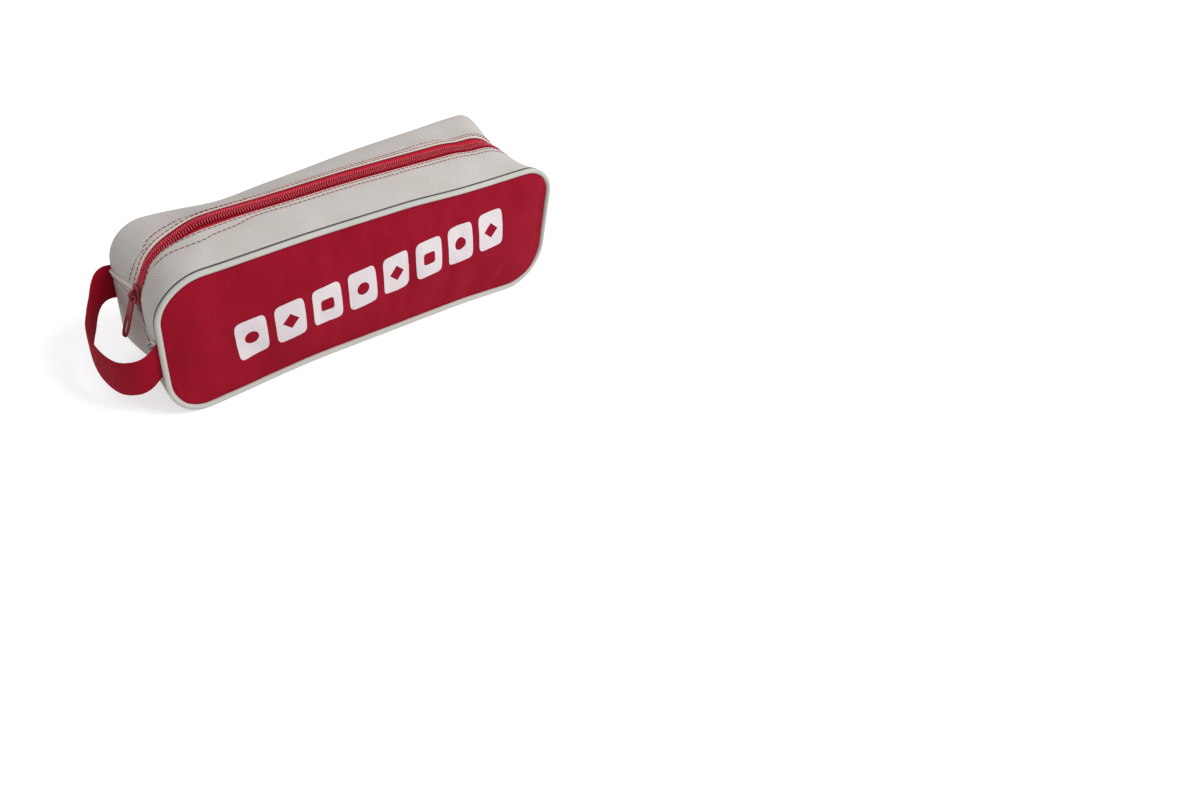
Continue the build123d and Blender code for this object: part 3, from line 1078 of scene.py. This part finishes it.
def smooth_route(points, steps):
    """Points on a smooth line through the given ones."""
    ends = [2 * points[0] - points[1]] + points + [2 * points[-1] - points[-2]]
    line = []
    for before, start, end, after in zip(ends, ends[1:], ends[2:], ends[3:]):
        first = start + (end - before) / 6
        second = end - (after - start) / 6
        line += interpolate_bezier(start, first, second, end, steps + 1)[:-1]
    return line + [points[-1]]


# Middle line of the handle's webbing, from its front end to its rear end
handle_route = [
    (-141.5, -36.4, 41.5), (-149.0, -35.7, 34.5), (-156.0, -31.5, 30.0), (-163.5, -21.0, 27.0),
    (-168.0, -4.5, 28.2), (-168.6, 8.4, 34.4), (-164.4, 18.6, 38.6), (-160.0, 25.4, 43.2),
    (-156.2, 29.2, 50.0), (-152.0, 31.8, 54.4), (-147.0, 33.4, 56.0), (-141.5, 34.0, 55.4),
]
webbing_width = 23.0 * mm
webbing_thickness = 1.5 * mm


def handle():
    """Loop of flat webbing, its front end sewn in lower than its rear end."""
    line = smooth_route([Vector(point) * mm for point in handle_route], 8)

    def place(number, angle):
        before, after = line[max(0, number - 1)], line[min(len(line) - 1, number + 1)]
        along = (after - before).normalized()
        up = Vector((0, 0, 1))
        out = along.cross(up).normalized()
        across = signed_power(math.cos(angle), 0.75) * webbing_width / 2
        through = signed_power(math.sin(angle), 0.75) * webbing_thickness / 2
        return line[number] + up * across + out * through

    rows = spaced(0, 2 * math.pi, math.pi / 14)
    bm = laid_sheet(list(range(len(line))), rows, place)
    bmesh.ops.remove_doubles(bm, verts=bm.verts, dist=0.01 * mm)
    bmesh.ops.holes_fill(bm, edges=[edge for edge in bm.edges if edge.is_boundary])
    bmesh.ops.recalc_face_normals(bm, faces=bm.faces)
    piece = new_piece("handle_loop", bm, webbing_cloth)
    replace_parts(piece, "handle_webbing")
    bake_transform(piece)


# --- Slider and puller ---


# The slider stands on the zip at this angle up from the end. The puller leans out
# from it, twisted in its eye
slider_turn = math.radians(8.2)
puller_lean = math.radians(12.0)
puller_twist = math.radians(14)
tape_face_radius = upper_zip_radius[left] - 1.3 * mm
bar_height = 4.45 * mm

# The slider's two plates are wider at their lower end, and flanges close the upper one
slider_half_length = 6 * mm
slider_half_widths = {"lower end": 4.7 * mm, "upper end": 4.1 * mm}
plate_thickness = 1.1 * mm
plate_height = 2.3 * mm
flange_size = (8.6 * mm, 0.9 * mm, 1.6 * mm)
flange_y, flange_z = 3.85 * mm, 1.9 * mm
flange_angle = math.radians(-2.9)
arch_radius, arch_leg = 2.5 * mm, 1.8 * mm
post_height = 2 * plate_height - plate_thickness

# Loops of flat plates: (half length, half width, power, middle along the puller)
post_rim = (1.8 * mm, 0.9 * mm, 1, -4.2 * mm)
eye_rim = (2.9 * mm, 3.5 * mm, 0.8, -2.15 * mm)
eye_hole = (1.55 * mm, 2.1 * mm, 0.8, -2.2 * mm)
neck_rim = (4.4 * mm, 2.3 * mm, 0.5, -8.2 * mm)
tab_rim = (8.5 * mm, 2.6 * mm, 0.55, -18.5 * mm)
tab_slot = (4.4 * mm, 1.1 * mm, 0.5, -20.2 * mm)
eye_thickness, tab_thickness = 1.3 * mm, 1.4 * mm
puller_edge = 0.35 * mm
neck_z, tab_z = -0.3 * mm, -0.35 * mm


def slider_frame():
    """Frame on the zip tape: x up along the zip, y to the rear, z out of the case."""
    out = Vector((-math.cos(slider_turn), 0, math.sin(slider_turn)))
    along = Vector((math.sin(slider_turn), 0, math.cos(slider_turn)))
    radius = upper_zip_radius[left]
    corner = Vector((end_sink + radius - half_length, 0, case_height + mouth_rise - radius))
    turn = Matrix((along, Vector((0, 1, 0)), out)).transposed()
    return Matrix.Translation(corner + out * tape_face_radius) @ turn.to_4x4()


def rounded_edges(bm, width, segments=2):
    """Round every edge sharper than 50 degrees."""
    sharp = [edge for edge in bm.edges if edge.is_manifold and edge.calc_face_angle() > math.radians(50)]
    bmesh.ops.bevel(
        bm, geom=sharp, offset=width, affect="EDGES", segments=segments,
        profile=0.5, material=-1, clamp_overlap=True,
    )


def extend(bm, faces, shift, keep=False):
    """Extrude faces by a shift. Keep leaves the first ones as the other side."""
    made = bmesh.ops.extrude_face_region(bm, geom=faces, use_keep_orig=keep)["geom"]
    ends = [item for item in made if isinstance(item, bmesh.types.BMVert)]
    bmesh.ops.translate(bm, vec=shift, verts=ends)


def add_loop(bm, half_x, half_y, power, centre_x):
    """Closed loop: power 1 gives an ellipse, less a rounded rectangle."""
    for vert in bmesh.ops.create_circle(bm, segments=40, radius=1)["verts"]:
        x = signed_power(vert.co.x, power)
        y = signed_power(vert.co.y, power)
        vert.co = Vector((centre_x + x * half_x, y * half_y, 0))


def plate(outer, inner, thickness, edge):
    """Flat plate with rounded edges, with a hole where an inner loop is given."""
    bm = bmesh.new()
    add_loop(bm, *outer)
    if inner:
        add_loop(bm, *inner)
        bmesh.ops.bridge_loops(bm, edges=bm.edges[:])
    else:
        bmesh.ops.contextual_create(bm, geom=bm.edges[:])
    extend(bm, bm.faces[:], (0, 0, thickness), keep=True)
    bmesh.ops.recalc_face_normals(bm, faces=bm.faces)
    rounded_edges(bm, edge)
    return bm


def moved(bm, y=0.0, z=0.0):
    bmesh.ops.translate(bm, vec=(0, y, z), verts=bm.verts)
    return template(bm)


def slider_plate():
    """Plate that is wide at its lower end, with round corners."""
    bm = bmesh.new()
    bmesh.ops.create_grid(bm, x_segments=1, y_segments=1, size=1)
    for vert in bm.verts:
        half_width = slider_half_widths["lower end" if vert.co.x < 0 else "upper end"]
        vert.co = Vector((vert.co.x * slider_half_length, vert.co.y * half_width, 0))
    bmesh.ops.bevel(
        bm, geom=bm.verts[:], offset=2.2 * mm, affect="VERTICES", segments=5, profile=0.5, material=-1
    )
    extend(bm, bm.faces[:], (0, 0, plate_thickness), keep=True)
    bmesh.ops.recalc_face_normals(bm, faces=bm.faces)
    rounded_edges(bm, 0.35 * mm, 3)
    return bm


def slider_flange(side):
    """Flange along a side of the upper plate, turned down beside the coil."""
    bm = bmesh.new()
    bmesh.ops.create_cube(bm, size=1)
    bmesh.ops.scale(bm, vec=flange_size, verts=bm.verts)
    bmesh.ops.rotate(bm, matrix=Matrix.Rotation(flange_angle * side, 3, "Z"), verts=bm.verts)
    rounded_edges(bm, 0.3 * mm)
    return moved(bm, y=side * flange_y, z=flange_z)


def slider_bridge():
    """Arch over the puller's bar, with a leg down to the plate at each end."""
    bm = bmesh.new()
    bmesh.ops.create_grid(bm, x_segments=1, y_segments=1, size=1)
    bmesh.ops.scale(bm, vec=(0.6 * mm, 1.0 * mm, 1), verts=bm.verts)
    bmesh.ops.translate(bm, vec=(-arch_radius, 0, 0), verts=bm.verts)
    extend(bm, bm.faces[:], (0, 0, -arch_leg), keep=True)
    top = [face for face in bm.faces if face.calc_center_median().z > -0.01 * mm]
    bmesh.ops.spin(
        bm, geom=top, cent=(0, 0, 0), axis=(0, 1, 0), dvec=(0, 0, 0),
        angle=math.pi, steps=12, use_merge=False,
    )
    end = [face for face in bm.faces if face.calc_center_median().x > 2 * mm and abs(face.normal.z) > 0.9]
    low = min(end, key=lambda face: face.calc_center_median().z)
    extend(bm, [low], (0, 0, -arch_leg))
    bmesh.ops.recalc_face_normals(bm, faces=bm.faces)
    rounded_edges(bm, 0.2 * mm)
    return moved(bm, z=bar_height)


def slider():
    """Two plates round the zip and the post between them, with flanges and a bridge on top."""
    shapes = [
        moved(slider_plate(), z=plate_height),
        moved(slider_plate(), z=-plate_height),
        moved(plate(post_rim, None, post_height, 0.15 * mm), z=-plate_height + plate_thickness),
        slider_flange(left),
        slider_flange(right),
        slider_bridge(),
    ]
    seat = slider_frame()
    piece = new_piece("zip_slider_body", joined([(shape, seat) for shape in shapes]), slider_paint)
    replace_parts(piece, "zip_slider")
    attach(piece, "slider")


def puller():
    """Ring eye, neck and slotted tab."""
    eye = plate(eye_rim, eye_hole, eye_thickness, puller_edge)
    neck = plate(neck_rim, None, eye_thickness, puller_edge)
    tab = plate(tab_rim, tab_slot, tab_thickness, 0.4 * mm)
    shapes = [moved(eye, z=-eye_thickness / 2), moved(neck, z=neck_z), moved(tab, z=tab_z)]
    seat = slider_frame() @ Matrix.Translation((0, 0, bar_height)) @ Matrix.Rotation(puller_lean, 4, "Y")
    seat = seat @ Matrix.Rotation(puller_twist, 4, "X")
    piece = new_piece("zip_puller_tab", joined([(shape, seat) for shape in shapes]), slider_paint)
    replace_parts(piece, "zip_puller")
    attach(piece, "puller")


# --- Print on the front panel ---


print_tiles = 8
tile_half_width, tile_half_height = 10.0 * mm, 13.5 * mm
tile_spacing = 25.5 * mm
print_middle = Vector((0, 0, 47 * mm))
print_slant = math.radians(6)
print_lift = 0.3 * mm
tile_corner_power = 0.3

# Marks left bare on the tiles, as (power, half size): round, diamond and square
tile_marks = ((1.0, 4.4 * mm), (2.0, 5.6 * mm), (0.4, 4.4 * mm))


def printed_tile(surface, shift, power, reach):
    """A plain tile with a bare mark in its middle, laid on the panel."""
    spin = Matrix.Rotation(-print_slant, 3, "Y")

    def place(angle, share):
        cosine, sine = math.cos(angle), math.sin(angle)
        outer_x = signed_power(cosine, tile_corner_power) * tile_half_width
        outer_z = signed_power(sine, tile_corner_power) * tile_half_height
        inner_x = signed_power(cosine, power) * reach
        inner_z = signed_power(sine, power) * reach
        flat = Vector((mix(outer_x, inner_x, share) + shift, 0, mix(outer_z, inner_z, share)))
        spot = print_middle + spin @ flat
        hit = surface.ray_cast(Vector((spot.x, -2 * half_depth, spot.z)), Vector((0, 1, 0)))[0]
        return hit + Vector((0, -print_lift, 0))

    bm = laid_sheet(spaced(0, 2 * math.pi, math.pi / 36), spaced(0, 1, 0.1), place)
    uv = bm.loops.layers.uv["cloth"]
    for face in bm.faces:
        for loop in face.loops:
            loop[uv].uv = (loop.vert.co.x, loop.vert.co.z)
    bmesh.ops.remove_doubles(bm, verts=bm.verts, dist=0.01 * mm)
    bmesh.ops.recalc_face_normals(bm, faces=bm.faces)
    if sum(face.normal.y for face in bm.faces) > 0:
        bmesh.ops.reverse_faces(bm, faces=bm.faces)
    return template(bm)


def printed_tiles(surface):
    """A slanted row of plain tiles whose marks take turns."""
    shapes = []
    for number in range(print_tiles):
        shift = (number - (print_tiles - 1) / 2) * tile_spacing
        mark = tile_marks[number % len(tile_marks)]
        shapes.append((printed_tile(surface, shift, *mark), Matrix.Identity(4)))
    piece = new_piece("printed_tiles", joined(shapes), white_print)
    thicken(piece, 0.2 * mm)
    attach(piece, "case_body")


# --- The whole case ---


def build_case():
    for face in (front, rear):
        word = face_names[face]
        panel_piece, surface = panel(face)
        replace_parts(panel_piece, f"{word}_panel")
        if face == front:
            printed_tiles(surface)
        bead = piping(face)
        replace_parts(bead, f"{word}_piping_cover", f"{word}_piping_cord")
        seam_tape(face)
        seam_thread_and_shade(face)
        for side in (left, right):
            end = end_names[side]
            strip = upper_strip(face, side)
            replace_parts(strip, f"{word}_strip_{end}_corner", f"{word}_mouth_strip")
            tape = zip_tape(face, side)
            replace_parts(tape, f"{word}_zip_tape_{end}_corner", f"{word}_mouth_zip_tape")
            coil = zip_coil(face, side)
            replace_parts(coil, f"{word}_zip_coil_{end}_corner", f"{word}_mouth_zip_coil")
            zip_cord_and_gap_shade(face, side)
            hem_stitches(face, side, outer=False)
            hem_stitches(face, side, outer=True)
    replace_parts(base_gusset(), "base_gusset")
    for side in (left, right):
        end_stitches(side)
        end_binding(side)
    handle()
    slider()
    puller()


build_case()


# --- Stage ---

floor_glow = 0.5
even_light = 0.51


def seen_directly(nodes, links):
    """1 for what the camera, a mirror or clear glass sees."""
    rays = nodes.new("ShaderNodeLightPath").outputs
    seen = worked_out(nodes, links, "MAXIMUM", rays["Is Camera Ray"], rays["Is Glossy Ray"])
    return worked_out(nodes, links, "MAXIMUM", seen, rays["Is Transmission Ray"])


def by_sight(nodes, links, unseen, seen):
    """One shader for the light that falls on things, another for what is seen directly."""
    pick = nodes.new("ShaderNodeMixShader")
    links.new(seen_directly(nodes, links), pick.inputs["Fac"])
    links.new(unseen.outputs[0], pick.inputs[1])
    links.new(seen.outputs[0], pick.inputs[2])
    return pick.outputs[0]


def even_glow(nodes, kind, strength):
    """White emission or background of a strength."""
    glow = nodes.new(kind)
    glow.inputs["Color"].default_value = (1, 1, 1, 1)
    glow.inputs["Strength"].default_value = strength
    return glow


def floor():
    """Pale floor that looks white where it is lit and keeps the case's shadow."""
    bm = bmesh.new()
    bmesh.ops.create_grid(bm, x_segments=1, y_segments=1, size=6)
    material, nodes, links, shader = blank_material("floor_white", 0.9)
    shader.inputs["Base Color"].default_value = (0.9, 0.9, 0.9, 1)
    shader.inputs["Specular IOR Level"].default_value = 0.0
    dark = even_glow(nodes, "ShaderNodeEmission", 0.0)
    glow = even_glow(nodes, "ShaderNodeEmission", floor_glow)
    both = nodes.new("ShaderNodeAddShader")
    links.new(shader.outputs[0], both.inputs[0])
    links.new(by_sight(nodes, links, dark, glow), both.inputs[1])
    links.new(both.outputs[0], nodes["Material Output"].inputs["Surface"])
    piece = new_piece("floor", bm, material)


def world_light():
    """Even light, white where it is seen directly."""
    world = bpy.data.worlds.new("studio")
    world.use_nodes = True
    nodes, links = world.node_tree.nodes, world.node_tree.links
    light = even_glow(nodes, "ShaderNodeBackground", even_light)
    white = even_glow(nodes, "ShaderNodeBackground", 1.0)
    links.new(by_sight(nodes, links, light, white), nodes["World Output"].inputs["Surface"])
    bpy.context.scene.world = world


def lamp(name, place, aim, size, power):
    """Square lamp turned towards a point."""
    light = bpy.data.lights.new(name, "AREA")
    light.energy = power
    light.size = size
    lamp_object = bpy.data.objects.new(name, light)
    lamp_object.location = place
    lamp_object.rotation_euler = (Vector(aim) - Vector(place)).to_track_quat("-Z", "Y").to_euler()
    bpy.context.collection.objects.link(lamp_object)


# The camera stands in front of the case, beyond its left end and above it. Its image is
# measured in pixels: it looks straight at the optical point, which isn't the middle.
camera_place = (-0.2440, -0.3999, 0.3108)
look_down = math.radians(34.15)
look_right = math.radians(33.49)
focal_pixels = 813
image_width, image_height = 1200, 800
optical_x, optical_y = 370, 320
film = 36


def camera():
    view = bpy.data.cameras.new("camera")
    view.lens = focal_pixels / image_width * film
    view.sensor_width = film
    view.shift_x = (image_width / 2 - optical_x) / image_width
    view.shift_y = (optical_y - image_height / 2) / image_width
    seat = bpy.data.objects.new("camera", view)
    seat.location = camera_place
    seat.rotation_euler = (math.pi / 2 - look_down, 0, -look_right)
    bpy.context.collection.objects.link(seat)
    bpy.context.scene.camera = seat


floor()
world_light()
lamp("key", place=(0.72, -1.0, 1.2), aim=(0, 0, 0.05), size=0.9, power=17.5)
camera()
bpy.context.scene.view_settings.view_transform = "Standard"
